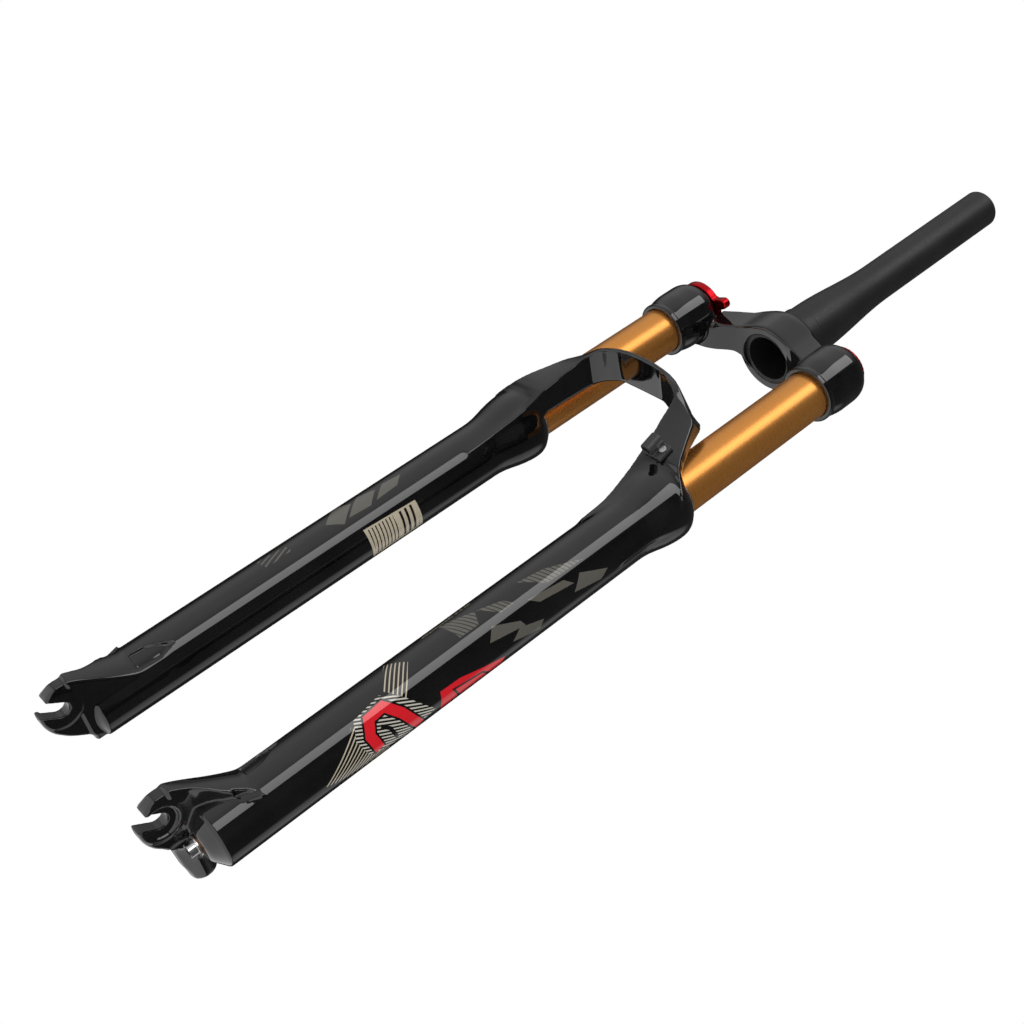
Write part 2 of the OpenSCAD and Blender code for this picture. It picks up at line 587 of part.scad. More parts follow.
module hose_guide_screw() color([0.8, 0.8, 0.82]) from_axle() translate([0, stanchion_offset, 0]) at_guide()
    translate([guide_screw_x, 0, 0]) rotate([-90, 0, 0]) difference() {
        union() {
            translate([0, 0, guide_seat + 2.4 + fit_gap]) cylinder(r = 2.3, h = 1.8, $fn = 48);
            translate([0, 0, -7]) cylinder(r = 1.5, h = 9.4, $fn = 32);
        }
        translate([0, 0, 2.8]) cylinder(r = 1.2, h = 3, $fn = 6);
    }

steerer_tube();
crown();
stanchion_right();
stanchion_left();
damper_top_cap();
air_top_cap();
valve_stem();
valve_core();
valve_pin();
air_valve_cap();
top_cap_orings();
lockout_knob();
knob_screw();
detent_ball();
lockout_rod();
rotary_valve();
compression_rod();
compression_valve();
compression_valve_oring();
air_seal_head();
damper_seal_head();
seal_head_orings();
retaining_rings();
topout_bumpers();
lowers();
wiper_seal_right();
wiper_seal_left();
garter_springs();
foam_ring_right();
foam_ring_left();
upper_bushing_right();
upper_bushing_left();
lower_bushing_right();
lower_bushing_left();
air_shaft();
air_piston();
air_piston_seal();
bottom_out_bumper();
damper_shaft();
damper_piston();
piston_band();
rebound_shims();
piston_nut();
foot_bolts();
crush_washers();
hose_guide();
hose_guide_screw();
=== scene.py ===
"""Looks of the suspension fork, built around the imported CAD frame.

Shapes are written in millimetres from the wheel axle (x to the rider's right, y to the front from
the stanchion axes, z up) and placed in the frame's own metres, measured from the crown race seat.
"""
import json
import math

import bpy
import numpy as np
import openvdb
from mathutils import Matrix, Quaternion, Vector


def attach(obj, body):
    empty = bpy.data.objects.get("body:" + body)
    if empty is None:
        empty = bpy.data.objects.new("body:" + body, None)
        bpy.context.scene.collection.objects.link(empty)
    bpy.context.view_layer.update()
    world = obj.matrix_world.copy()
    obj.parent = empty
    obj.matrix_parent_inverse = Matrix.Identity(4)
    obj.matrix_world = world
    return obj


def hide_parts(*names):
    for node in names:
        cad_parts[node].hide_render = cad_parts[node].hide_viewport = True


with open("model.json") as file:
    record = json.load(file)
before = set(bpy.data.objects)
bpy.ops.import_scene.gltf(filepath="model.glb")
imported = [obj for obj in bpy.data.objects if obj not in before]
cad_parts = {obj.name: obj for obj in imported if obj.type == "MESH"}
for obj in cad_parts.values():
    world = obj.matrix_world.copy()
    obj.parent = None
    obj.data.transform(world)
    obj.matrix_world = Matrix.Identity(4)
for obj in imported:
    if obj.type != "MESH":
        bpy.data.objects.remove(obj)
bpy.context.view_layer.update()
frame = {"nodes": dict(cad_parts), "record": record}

AXLE_TO_CROWN = 538.0
STANCHION_OFFSET = 18.0
LEG_X = 64.0
LIP_Z = 344.0
MM = 0.001


# ---------- meshes ----------

def place(points, origin):
    """Millimetres from the given origin to the frame's metres."""
    return (np.asarray(points, dtype=float) + np.asarray(origin, dtype=float)) * MM


AXLE_FRAME = (0.0, STANCHION_OFFSET, -AXLE_TO_CROWN)
CROWN_FRAME = (0.0, 0.0, 0.0)


def outward(vertices, faces):
    """The faces of a closed surface, all turned the other way if they look inwards."""
    v = np.asarray(vertices, dtype=float)
    volume = 0.0
    for count in (3, 4):
        ring = np.array([f for f in faces if len(f) == count], dtype=int).reshape(-1, count)
        for i in range(1, count - 1):
            a, b, c = v[ring[:, 0]], v[ring[:, i]], v[ring[:, i + 1]]
            volume += np.einsum("ij,ij->i", a, np.cross(b, c)).sum()
    return faces if volume > 0 else [f[::-1] for f in faces]


def new_mesh(name, vertices, faces, origin, sharp_degrees=32.0):
    mesh = bpy.data.meshes.new(name)
    faces = outward(vertices, faces)
    mesh.from_pydata(place(vertices, origin).tolist(), [], [list(map(int, f)) for f in faces])
    mesh.validate()
    mesh.polygons.foreach_set("use_smooth", [True] * len(mesh.polygons))
    mesh.set_sharp_from_angle(angle=math.radians(sharp_degrees))
    mesh.update()
    piece = bpy.data.objects.new(name, mesh)
    bpy.context.scene.collection.objects.link(piece)
    return piece


def rounded(outline, radius, steps=4):
    """Rounds each corner of a closed outline; radius is one number or one for each corner."""
    count = len(outline)
    radii = [radius] * count if np.isscalar(radius) else list(radius)
    result = []
    for i in range(count):
        p = np.array(outline[i], dtype=float)
        before = np.array(outline[i - 1], dtype=float) - p
        after = np.array(outline[(i + 1) % count], dtype=float) - p
        la, lb = np.linalg.norm(before), np.linalg.norm(after)
        cut = min(radii[i], 0.45 * la, 0.45 * lb)
        if cut < 1e-4 or p[0] < 1e-6:
            result.append(tuple(p))
            continue
        a, b = p + before / la * cut, p + after / lb * cut
        for t in np.linspace(0.0, 1.0, steps + 1):
            result.append(tuple((1 - t) ** 2 * a + 2 * t * (1 - t) * p + t * t * b))
    return result


def lathe_mesh(outline, centre, segments=160):
    """Vertices and faces of a closed (r, z) outline turned about a vertical axis."""
    angles = np.arange(segments) * 2 * math.pi / segments
    cos, sin = np.cos(angles), np.sin(angles)
    vertices, rows = [], []
    for r, z in outline:
        if r < 1e-6:
            rows.append([len(vertices)] * segments)
            vertices.append((centre[0], centre[1], z))
        else:
            rows.append(list(range(len(vertices), len(vertices) + segments)))
            vertices += [(centre[0] + r * c, centre[1] + r * s, z) for c, s in zip(cos, sin)]
    faces = []
    for i, low in enumerate(rows):
        high = rows[(i + 1) % len(rows)]
        if low[0] == low[1] and high[0] == high[1]:
            continue
        for k in range(segments):
            m = (k + 1) % segments
            face = [low[k], low[m], high[m], high[k]]
            faces.append(list(dict.fromkeys(face)))
    return vertices, faces


def lathe(name, outline, centre, origin, segments=160, sharp_degrees=32.0):
    vertices, faces = lathe_mesh(outline, centre, segments)
    return new_mesh(name, vertices, faces, origin, sharp_degrees)


# ---------- signed distance fields ----------

def smooth_min(a, b, k):
    h = np.clip(0.5 + 0.5 * (b - a) / k, 0.0, 1.0)
    return b + (a - b) * h - k * h * (1.0 - h)


def smooth_max(a, b, k):
    return -smooth_min(-a, -b, k)


def within(*fields):
    """Inside where every one of the fields is inside; their shapes may differ."""
    result = fields[0]
    for field in fields[1:]:
        result = np.maximum(result, field)
    return result


def crossed(xs, ys, zs):
    """Three axes shaped so that sums of them fill the grid."""
    return xs[:, None, None], ys[None, :, None], zs[None, None, :]


def curve(points, steps=8):
    """A smooth line through the points (Catmull-Rom)."""
    p = np.array(points, dtype=float)
    p = np.vstack([2 * p[0] - p[1], p, 2 * p[-1] - p[-2]])
    result = []
    for i in range(1, len(p) - 2):
        for t in np.arange(steps) / steps:
            result.append(0.5 * (2 * p[i] + (p[i + 1] - p[i - 1]) * t
                                 + (2 * p[i - 1] - 5 * p[i] + 4 * p[i + 1] - p[i + 2]) * t ** 2
                                 + (3 * p[i] - p[i - 1] - 3 * p[i + 1] + p[i + 2]) * t ** 3))
    result.append(p[-2])
    return [tuple(q) for q in result]


def outline_distance(outline, u, v):
    """Signed distance to a closed outline in the plane, negative inside."""
    distance = np.full(np.broadcast(u, v).shape, 1e9)
    inside = np.zeros(distance.shape, dtype=bool)
    for (ax, ay), (bx, by) in zip(outline, outline[1:] + outline[:1]):
        ex, ey = bx - ax, by - ay
        length2 = ex * ex + ey * ey
        if length2 < 1e-12:
            continue
        t = np.clip(((u - ax) * ex + (v - ay) * ey) / length2, 0.0, 1.0)
        distance = np.minimum(distance, (u - ax - ex * t) ** 2 + (v - ay - ey * t) ** 2)
        if ay != by:
            crosses = ((ay > v) != (by > v)) & (u < ax + (v - ay) * ex / ey)
            inside ^= crosses
    distance = np.sqrt(distance)
    return np.where(inside, -distance, distance)


def sample(grid, places):
    """Values of a grid between its points (trilinear); places are in cells."""
    low = [np.clip(np.floor(places[:, i]).astype(int), 0, grid.shape[i] - 2) for i in range(3)]
    part = [places[:, i] - low[i] for i in range(3)]
    total = np.zeros(len(places))
    for corner in np.ndindex(2, 2, 2):
        weight = np.ones(len(places))
        for i in range(3):
            weight = weight * (part[i] if corner[i] else 1 - part[i])
        total += weight * grid[low[0] + corner[0], low[1] + corner[1], low[2] + corner[2]]
    return total


def slope(field, axes, places):
    """Unit gradient of a field at the places."""
    rise = np.stack([sample(np.gradient(field, axes[i], axis=i), places) for i in range(3)], 1)
    return rise / np.maximum(np.linalg.norm(rise, axis=1), 1e-6)[:, None]


FIELD_LIMIT = 4.0  # fields are clipped this far from their surface
SKIN_REACH = 0.25  # points nearer to the skin than this are shaded by it


def surface(name, field, axes, origin, sharp_degrees=50.0, skin=None):
    """The zero surface of a field sampled on three axes whose spacing may vary, shaded by its slope.

    A thin wall is shaded by the slope of its skin, the same field before it was hollowed.
    """
    grid = openvdb.FloatGrid(background=FIELD_LIMIT)
    grid.copyFromArray(np.clip(field, -FIELD_LIMIT, FIELD_LIMIT).astype(np.float32))
    points, triangles, quads = grid.convertToPolygons(isovalue=0.0, adaptivity=0.0)
    real = np.stack([np.interp(points[:, i], np.arange(len(axes[i])), axes[i])
                     for i in range(3)], 1)
    faces = triangles.tolist() + quads.tolist()
    piece = new_mesh(name, real, faces, origin, sharp_degrees)
    if len(piece.data.vertices) == len(real):
        normals = slope(field, axes, points)
        if skin is not None:
            outside = np.abs(sample(skin, points)) < SKIN_REACH
            normals[outside] = slope(skin, axes, points[outside])
        piece.data.normals_split_custom_set_from_vertices(normals.tolist())
    return piece


# ---------- lowers ----------

VOXEL = 0.8

LEG_PROFILE_Z = [10, 16.5, 17.3, 303, 307, 312, 317, 322, 327, 331, 334, 337, 339.5, 341.5, 343, 344]
LEG_PROFILE_R = [10.3, 18.4, 18.8, 19.2, 19.35, 19.95, 21.0, 22.2, 23.15, 23.7, 23.95, 24.0, 23.75,
                 23.1, 22.3, 21.6]
LOW_END, HIGH_START = 100, 280  # the feet lie below the one height, the arch above the other

# Bore of a leg by height: narrower below the bushings, where only a stanchion passes
BORE_Z = [34, 76, 80, 190, 194, 332.9, 333.0, 345]
BORE_R = [15.0, 15.0, 16.8, 16.8, 17.6, 17.6, 20.54, 20.54]
BORE_FLOOR = 34.0

# Room for the crown above the legs, by height
ROOM_Z = [LIP_Z, LIP_Z + 2, LIP_Z + 5, 366, 384, 410]
ROOM_R = [21.3, 21.3, 22.4, 22.8, 24.2, 24.4]

# Edges of the arch, from its crest down to a leg: (x, y, z)
FRONT_INNER = np.array([
    (0, 48.7, 391.5), (10, 48.2, 391.5), (18, 47.1, 391.3), (24.8, 46.9, 388.9), (30.7, 45.4, 386.9),
    (34, 43.6, 385.2), (36.5, 41.8, 383.0), (37.8, 40.4, 380.2), (39.1, 38.3, 375), (40.9, 35.3, 366.1),
    (42.3, 33.3, 360.6), (44.6, 29.6, 348.7), (45.5, 27.0, 342.7), (46.8, 23.5, 333.2),
    (48.6, 20.2, 322.4), (50.2, 17.8, 311.8), (51.0, 15.9, 302.9), (51.8, 14.0, 290)])
FRONT_OUTER = np.array([
    (0, 49.0, 394.4), (10, 48.5, 394.4), (18, 47.2, 394.2), (24.1, 45.8, 393.7), (29.5, 44.7, 392.3),
    (35.4, 43.4, 389.6), (38.4, 41.7, 387.9), (42.4, 39.0, 386.2), (45.9, 36.7, 384.6),
    (50.8, 34.9, 381.7), (54.8, 33.4, 379.6), (57, 32.5, 377.6), (59.7, 31.9, 372.3),
    (62.5, 31.0, 366.8), (67.1, 29.6, 358.2), (69.9, 28.4, 352.6), (73.5, 26.0, 347.2),
    (77.3, 22.6, 343.5), (84, 14, 338), (92, 0, 332)])
BACK_EDGE = curve([(0, 22.8), (14.8, 22.6), (21.7, 22.2), (28, 20.9), (33.5, 18.7), (39.5, 15.8),
                   (44, 12.5), (48, 8), (52, 2)])
TOP_SLOPE = 0.35
CREST_Z = 391.3
ARCH_LOW, ARCH_SIDE = 288.0, 84.5

AXLE_Y = 22.0
AXLE_SLOT_R, AXLE_SLOT_ANGLE = 4.7, math.radians(-55)
DROPOUT_X = 54.0
FOOT_R = 18.8
SHOULDER_Z = 44.5
PLATE = (curve([(13, 60), (13, 53.9), (13.1, 48.7), (14.1, 43.5), (16.7, 38), (19.9, 32.7), (23.4, 27.7),
                (27.1, 23.1), (30.5, 18.6), (33.6, 13.9), (35.9, 8.9), (36.5, 4.5), (36.2, 0.7),
                (34.8, -2.6), (33.3, -4.7)], 4)
         + curve([(31.2, -5.4), (30.9, -8.8), (29.7, -11.3), (27, -12.1), (23.9, -12.1), (16.3, -11.6),
                  (9.7, -8.9), (5.2, -5.3), (1.7, -1.9), (-3, 4.3), (-7.7, 11.8), (-10.5, 20),
                  (-11, 30), (-11, 58)], 4))


def edge_at(edge, heights):
    """x and y of one of the arch's edges at the given heights."""
    upwards = edge[::-1]
    return [np.interp(heights, upwards[:, 2], upwards[:, i]) for i in (0, 1)]


def arch_field(x, y, z):
    """Distance field of the arch; x is taken as already mirrored to the right."""
    across, heights = x[:, 0, 0], z[0, 0]
    inner_x, inner_y = edge_at(FRONT_INNER, heights)
    outer_x, outer_y = edge_at(FRONT_OUTER, heights)
    outer_along = FRONT_OUTER[:, 0]
    top_y = np.interp(across, outer_along, FRONT_OUTER[:, 1])
    top_z = np.interp(across, outer_along, FRONT_OUTER[:, 2])
    turn = (outer_y - inner_y) / np.maximum(outer_x - inner_x, 4.0)
    front_y = inner_y[None, :] + turn[None, :] * (across[:, None] - inner_x[None, :])
    front_y = np.where(heights[None, :] > CREST_Z, top_y[:, None], front_y)
    front = (y - front_y[:, None, :]) * 0.93
    void = curve([tuple(p) for p in FRONT_INNER[:, [0, 2]]], 4)
    void = void + [(51.8, 200), (-20, 200), (-20, 391.5)]
    inner = -outline_distance(void, across[:, None], heights[None, :])[:, None, :]
    shoulder = np.interp(across, [44, 50, 57, 64], [0.0, 0.22, 0.22, 0.0])
    height = top_z[:, None] + (TOP_SLOPE + shoulder[:, None]) * (top_y[:, None] - y[0, :, 0][None, :])
    steep = np.hypot(np.gradient(top_z, across), TOP_SLOPE)
    top = (z - height[:, :, None]) / np.sqrt(1 + steep ** 2)[:, None, None]
    back_y = np.interp(across, [p[0] for p in BACK_EDGE], [p[1] for p in BACK_EDGE])
    back = (back_y[:, None, None] - y) * 0.92
    solid = smooth_max(front, top, 1.2)
    solid = smooth_max(solid, inner, 1.2)
    solid = smooth_max(solid, back, 2.2)
    solid = smooth_max(solid, x - ARCH_SIDE, 2.0)
    return smooth_max(solid, ARCH_LOW - z, 2.0)


def foot_field(x, y, z):
    """Dropout plate, instep and seat of the quick-release; x is mirrored to the right."""
    plate = outline_distance(PLATE, y[0, :, 0][:, None], z[0, 0][None, :])[None, :, :]
    plate = smooth_max(plate, np.abs(x - DROPOUT_X) - 4.0, 1.6)
    outer_x = np.interp(z[0, 0], [8, 11.2, 14.4, 18.7, 22.7, 26.4, 30, 37, 46],
                        [58, 58.2, 58.8, 59.8, 61.6, 63.8, 66.8, 71, 75.5])
    across = x[:, 0, 0]
    tube_y = np.sqrt(np.maximum(FOOT_R ** 2 - (across - LEG_X) ** 2, 4.0))
    flare = 0.66 - 0.013 * np.clip(across - 50, 0, 30)
    front_y = tube_y[:, None] + flare[:, None] * (SHOULDER_Z - z[0, 0])[None, :]
    instep = (y - front_y[:, None, :]) * 0.84
    instep = smooth_max(instep, (x - outer_x[None, None, :]) * 0.85, 1.0)
    instep = smooth_max(instep, 50.0 - x, 1.2)
    instep = smooth_max(instep, -12.0 - y, 2.0)
    instep = smooth_max(instep, 9.0 - z, 2.0)
    instep = smooth_max(instep, z - SHOULDER_Z - 2.0, 1.0)
    foot = smooth_min(plate, instep, 2.5)
    ring = np.hypot(y - AXLE_Y, z)
    boss = smooth_max(ring - 11.5, np.abs(x - 54.2) - 4.6, 1.0)
    foot = smooth_min(foot, boss, 1.5)
    seat = smooth_max(ring - 9.3, 57.3 - x, 0.5)
    return smooth_max(foot, -seat, 0.6)


def slot_field(y, z):
    """Open-ended slot for the axle."""
    forward, up = math.cos(AXLE_SLOT_ANGLE), math.sin(AXLE_SLOT_ANGLE)
    v = y - AXLE_Y
    along = np.maximum(v * forward + z * up, 0.0)
    return np.hypot(v - along * forward, z - along * up) - AXLE_SLOT_R


def spaced(knots):
    """An axis through (start, step) knots, its spacing changing smoothly between them."""
    values = [knots[0][0]]
    places, steps = [k[0] for k in knots], [k[1] for k in knots]
    while values[-1] < knots[-1][0]:
        values.append(values[-1] + np.interp(values[-1], places, steps))
    return np.array(values)


def leg_field(rho, z):
    """Both legs as plain turned tubes, up to the lip under the wiper seals."""
    profile = np.interp(z, LEG_PROFILE_Z, LEG_PROFILE_R)
    lean = 1 / np.sqrt(1 + np.gradient(profile[0, 0], z[0, 0]) ** 2)
    leg = (rho - profile) * np.maximum(lean, 0.6)
    leg = smooth_max(leg, 10.0 - z, 1.0)
    return smooth_max(leg, z - LIP_Z, 1.0)


# Brake posts behind the left leg, and the web between them: (y, z)
POST_X = -52.0
POST_HEIGHTS = (9.5, 83.7)
WEB = [(4, -1.5), (-18, 0.5), (-28.5, 3.5), (-28.5, 14), (-20, 38), (-20, 54), (-27, 77), (-27, 90),
       (-4, 98)]


def with_brake_posts(foot, x, y, z):
    for post_z in POST_HEIGHTS:
        post = np.hypot(x - POST_X, z - post_z) - 6.8
        post = smooth_max(post, -31.0 - y, 2.0)
        post = smooth_max(post, y + 6.0, 2.0)
        foot = smooth_min(foot, post, 4.0)
    web = outline_distance(WEB, y[0, :, 0][:, None], z[0, 0][None, :])[None, :, :]
    web = smooth_max(web, np.abs(x - POST_X) - 4.0, 2.0)
    return smooth_min(foot, web, 4.0)


# Shallow recess and small flat facet at the front of each foot: (x, z)
FRONT_POCKET = [(52.3, 45.8), (62, 46.2), (61, 56), (54.2, 70), (51.6, 60)]
SIDE_FACET = [(67.6, 34.2), (74.2, 36.8), (77.4, 46.6), (74, 45), (70.6, 41.6)]


def mirrored_outline(outline, x, z):
    """Signed distance to an outline in the front view, the same on both legs."""
    half = outline_distance(outline, np.abs(x[:, 0, 0])[:, None], z[0, 0][None, :])
    return half[:, None, :]


def with_pocket_and_facet(foot, x, y, z):
    pocket = mirrored_outline(FRONT_POCKET, x, z)
    recess = within(pocket, -1.5 - foot, 4.0 - y)
    foot = smooth_max(foot, -recess, 0.35)
    facet = mirrored_outline(SIDE_FACET, x, z)
    plane = (y - 16.6 + 0.157 * (np.abs(x) - 72)) * 0.985
    foot = smooth_max(foot, np.minimum(plane, -facet), 0.3)
    return np.minimum(foot, within(plane, facet, 8.0 - y))


def bored(field, rho, z):
    """The legs' bores, and at each foot the bolt's hole and its spot face."""
    bore = np.maximum(rho - np.interp(z, BORE_Z, BORE_R), BORE_FLOOR - z)
    bolt = rho - 4.1
    spot = smooth_max(rho - 7.0, z - 10.0, 0.4)
    return within(field, -bore, -bolt, -spot)


def build_lowers():
    xs = np.arange(-90, 90 + VOXEL, VOXEL)
    ys = np.arange(-34, 53 + VOXEL, VOXEL)
    zs = spaced([(-14, VOXEL), (95, VOXEL), (125, 5.0), (262, 5.0), (286, VOXEL), (406, VOXEL)])
    x, y, z = crossed(xs, ys, zs)
    rho = np.hypot(np.abs(x) - LEG_X, y)
    low, high = zs < LOW_END, zs > HIGH_START
    z_low, z_high = z[:, :, low], z[:, :, high]
    field = leg_field(rho, z)
    field[:, :, high] = smooth_min(field[:, :, high], arch_field(np.abs(x), y, z_high), 5.0)
    foot = smooth_min(field[:, :, low], foot_field(np.abs(x), y, z_low), 0.7)
    field[:, :, low] = with_brake_posts(foot, x, y, z_low)
    room = np.maximum(rho - np.interp(z, ROOM_Z, ROOM_R), LIP_Z - z)
    field = smooth_max(field, -room, 0.8)
    field[:, :, low] = with_pocket_and_facet(field[:, :, low], x, y, z_low)
    skin = np.array(field)
    field = bored(field, rho, z)
    field[:, :, low] = smooth_max(field[:, :, low], -slot_field(y, z_low), 0.7)
    for post_z in POST_HEIGHTS:
        hole = np.maximum(np.hypot(x - POST_X, z_low - post_z) - 3.0, y + 15.0)
        field[:, :, low] = np.maximum(field[:, :, low], -hole)
    field[:, :, high] = np.maximum(field[:, :, high], -guide_seat_field(x, y, z_high))
    return surface("fork_lowers", field, (xs, ys, zs), AXLE_FRAME, skin=skin)


GUIDE_ORIGIN = np.array([-54.5, 28.8, 350.0])
GUIDE_TILT = math.radians(-18.5)


def guide_seat_field(x, y, z):
    u = x - GUIDE_ORIGIN[0]
    dy, dz = y - GUIDE_ORIGIN[1], z - GUIDE_ORIGIN[2]
    v = dy * math.cos(GUIDE_TILT) + dz * math.sin(GUIDE_TILT)
    w = -dy * math.sin(GUIDE_TILT) + dz * math.cos(GUIDE_TILT)
    return within(np.abs(u + 0.8) - 6.7, -0.2 - v, np.abs(w + 0.8) - 5.75)


# ---------- crown ----------

STEERER_HOLE_R = 19.24
STANCHION_HOLE_R = 16.04
SEAT_R, SEAT_Z = 16.7, -32.5

SOCKET = [(STANCHION_HOLE_R, -65), (18.7, -65), (19.5, -64.3), (19.5, -61.7), (18.9, -61.0),
          (18.9, -60.5)]


def socket_profile():
    outer = [(19 + 1.9 * math.sin(math.pi / 2 * t), -60.5 + 12 * t) for t in np.linspace(0, 1, 9)]
    crest = [(16.4 + 4.5 * math.cos(math.pi / 2 * t), -38.5 + 9.6 * math.sin(math.pi / 2 * t))
             for t in np.linspace(0, 1, 11)]
    return SOCKET + outer + crest + [(SEAT_R, SEAT_Z), (STANCHION_HOLE_R, SEAT_Z)]


def build_crown():
    fine = 0.7
    xs = np.arange(-87, 87 + fine, fine)
    ys = np.arange(-28, 42 + fine, fine)
    zs = np.arange(-67, 2 + fine, fine)
    x, y, z = crossed(xs, ys, zs)
    rho_leg = np.hypot(np.abs(x) - LEG_X, y - STANCHION_OFFSET)
    rho = np.hypot(x, y)
    radial = np.linspace(0, 60, 481)
    socket_2d = outline_distance(
        [(0, -65)] + socket_profile()[1:-2] + [(0, -28.9)], radial[:, None], zs[None, :])
    boss_outline = rounded([(-5, -28.5), (25, -28.5), (25, -9), (23.8, -6), (20.9, 0), (-5, 0)], 1.2)
    boss_2d = outline_distance(boss_outline, radial[:, None], zs[None, :])
    sockets = np.empty((len(xs), len(ys), len(zs)))
    boss = np.empty_like(sockets)
    for k in range(len(zs)):
        sockets[:, :, k] = np.interp(rho_leg[:, :, 0], radial, socket_2d[:, k])
        boss[:, :, k] = np.interp(rho[:, :, 0], radial, boss_2d[:, k])
    low_edge = curve([(0, -28.5), (14, -29.3), (22, -31), (30, -33.8), (36, -36.4), (44, -39.2),
                      (50, -40.6), (60, -41.4)])
    high_edge = curve([(60, -22.5), (50, -21.3), (45, -19.5), (36, -14.4), (26, -10.4), (20, -7),
                       (10, -6), (0, -6)])
    front = [(-10, -28.5)] + low_edge + high_edge + [(-10, -6)]
    front_2d = outline_distance(front, xs[:, None], zs[None, :])
    front_2d = np.where(xs[:, None] < 0, front_2d[::-1], front_2d)
    plan = ([(-10, 23)] + curve([(0, 23), (14, 20.8), (26, 18.8), (38, 18), (60, 18)])
            + curve([(60, -3), (44, -3.4), (30, -2.4), (22, -3.5), (15, -9), (0, -12)]) + [(-10, -12)])
    plan_2d = outline_distance(plan, xs[:, None], ys[None, :])
    plan_2d = np.where(xs[:, None] < 0, plan_2d[::-1], plan_2d)
    arms = smooth_max(front_2d[:, None, :], plan_2d[:, :, None], 1.4)
    # a long facet along the arms' lower front edge
    facet = ((y - 18.5) * 0.55 - (z + 33.0) * 0.83) - 2.0
    arms = smooth_max(arms, facet, 0.8)
    field = smooth_min(boss, arms, 6.0)
    field = smooth_min(field, sockets, 3.5)
    # the sockets' lower beads stay crisp
    keep = zs < -59
    field[:, :, keep] = np.minimum(arms, sockets)[:, :, keep]
    lid = np.maximum(rho_leg - 18.0, -27.0 - z)
    seat = np.maximum(rho_leg - SEAT_R, SEAT_Z - z)
    field = within(field, -lid, STEERER_HOLE_R - rho, -seat, STANCHION_HOLE_R - rho_leg)
    return surface("fork_crown", field, (xs, ys, zs), CROWN_FRAME)


# ---------- turned pieces ----------

def ease(t):
    return (1 - math.cos(math.pi * max(0.0, min(1.0, t)))) / 2


TAPER_LOW, TAPER_HIGH, TAPER_STEPS = 14, 92, 27


def taper_radius(z, slim, extra):
    """Radius of the steerer's taper, which is wider by extra at its lower end."""
    return slim + extra * (1 - ease((z - TAPER_LOW) / (TAPER_HIGH - TAPER_LOW)))


def build_steerer():
    heights = np.linspace(TAPER_LOW, TAPER_HIGH, TAPER_STEPS)
    taper = [(taper_radius(z, 14.3, 4.7), z) for z in heights]
    bore = [(taper_radius(z, 12, 4.3), z) for z in heights[::-1]]
    foot = [(19.2, -28.0), (19.2, 0), (19.9, 0.0), (19.9, 8.6), (19.6, 9.0), (19.1, 9.6)]
    top = [(14.3, 219.0), (13.9, 219.6), (13.3, 220), (12.4, 220), (12.0, 219.6)]
    return lathe("steerer", foot + taper + top + bore + [(16.3, -28.0)], (0, 0), CROWN_FRAME, 192)


def build_stanchion(name, side):
    low, high = -348.0, SEAT_Z
    outline = rounded([(16, low), (16, high), (14, high), (14, low)], 0.5)
    return lathe(name, outline, (side * LEG_X, STANCHION_OFFSET), CROWN_FRAME, 192)


def build_seal(name, side):
    z = LIP_Z
    outline = [(20.5, z - 11), (20.5, z - 0.4), (20.7, z - 0.1), (20.9, z + 0.1), (20.9, z + 0.8),
               (20.6, z + 1.1), (19.4, z + 1.5), (18.6, z + 2.1), (17.9, z + 2.9), (17.3, z + 3.4),
               (16.7, z + 3.5),
               (16.3, z + 3.1), (16.05, z + 2.6), (16.05, z + 2), (17.4, z + 0.2), (17.4, z - 5),
               (16.05, z - 7.5), (16.05, z - 8.3), (17, z - 11)]
    return lathe(name, outline, (side * LEG_X, 0), AXLE_FRAME, 160, 40)


KNOB_Z = -26.7
LEVER_ANGLE = math.radians(158)


def build_knob():
    """Red lockout disc with a short rounded lever."""
    fine = 0.45
    xs = np.arange(-30, 21, fine)
    ys = np.arange(-20, 21, fine)
    zs = np.arange(-1.5, 8, fine)
    x, y, z = crossed(xs, ys, zs)
    rho = np.hypot(x, y)
    disc = smooth_max(rho - 17.2, np.abs(z - 2.9) - 2.9, 1.4)
    dish = smooth_max(rho - 12.5, 5.2 - z, 0.8)
    disc = smooth_max(disc, -dish, 0.6)
    along = x * math.cos(LEVER_ANGLE) + y * math.sin(LEVER_ANGLE)
    across = -x * math.sin(LEVER_ANGLE) + y * math.cos(LEVER_ANGLE)
    width = np.interp(along, [8, 18, 24], [4.8, 3.9, 3.7])
    reach = np.clip(along, 10, 23.4)
    lever = np.hypot(across, along - reach) - width
    lever = smooth_max(lever, z - 6.2, 1.4)
    lever = smooth_max(lever, 0.4 - z, 1.0)
    field = smooth_min(disc, lever, 1.6)
    field = smooth_max(field, 3.04 - rho, 0.3)
    field = np.maximum(field, -z)
    return surface("lockout_disc", field, (xs, ys, zs), (LEG_X, STANCHION_OFFSET, KNOB_Z))


def build_air_cap():
    """Red cap with a fluted rim and a skirt that screws on the valve."""
    outline = [(0, 2.6), (8, 2.5), (11, 2.3), (13.2, 2.05), (14.4, 1.75), (15.0, 1.3), (15.2, 0.9),
               (15.2, 0.4), (14.9, 0.1), (14.5, 0), (9, 0), (9, -9), (4.3, -9), (4.3, 0.6), (0, 0.6)]
    flutes, flute_depth, flute_start = 30, 0.18, 13.0
    vertices, faces = lathe_mesh(outline[::-1], (0, 0), 8 * flutes)
    moved = []
    for vx, vy, vz in vertices:
        r = math.hypot(vx, vy)
        if r > flute_start and vz > -0.05:
            wave = 0.5 + 0.5 * math.cos(flutes * math.atan2(vy, vx))
            scale = (r - flute_depth * wave ** 3 * min(1.0, (r - flute_start) / 1.5)) / r
            vx, vy = vx * scale, vy * scale
        moved.append((vx, vy, vz))
    return new_mesh("air_cap", moved, faces, (-LEG_X, STANCHION_OFFSET, KNOB_Z), 40)


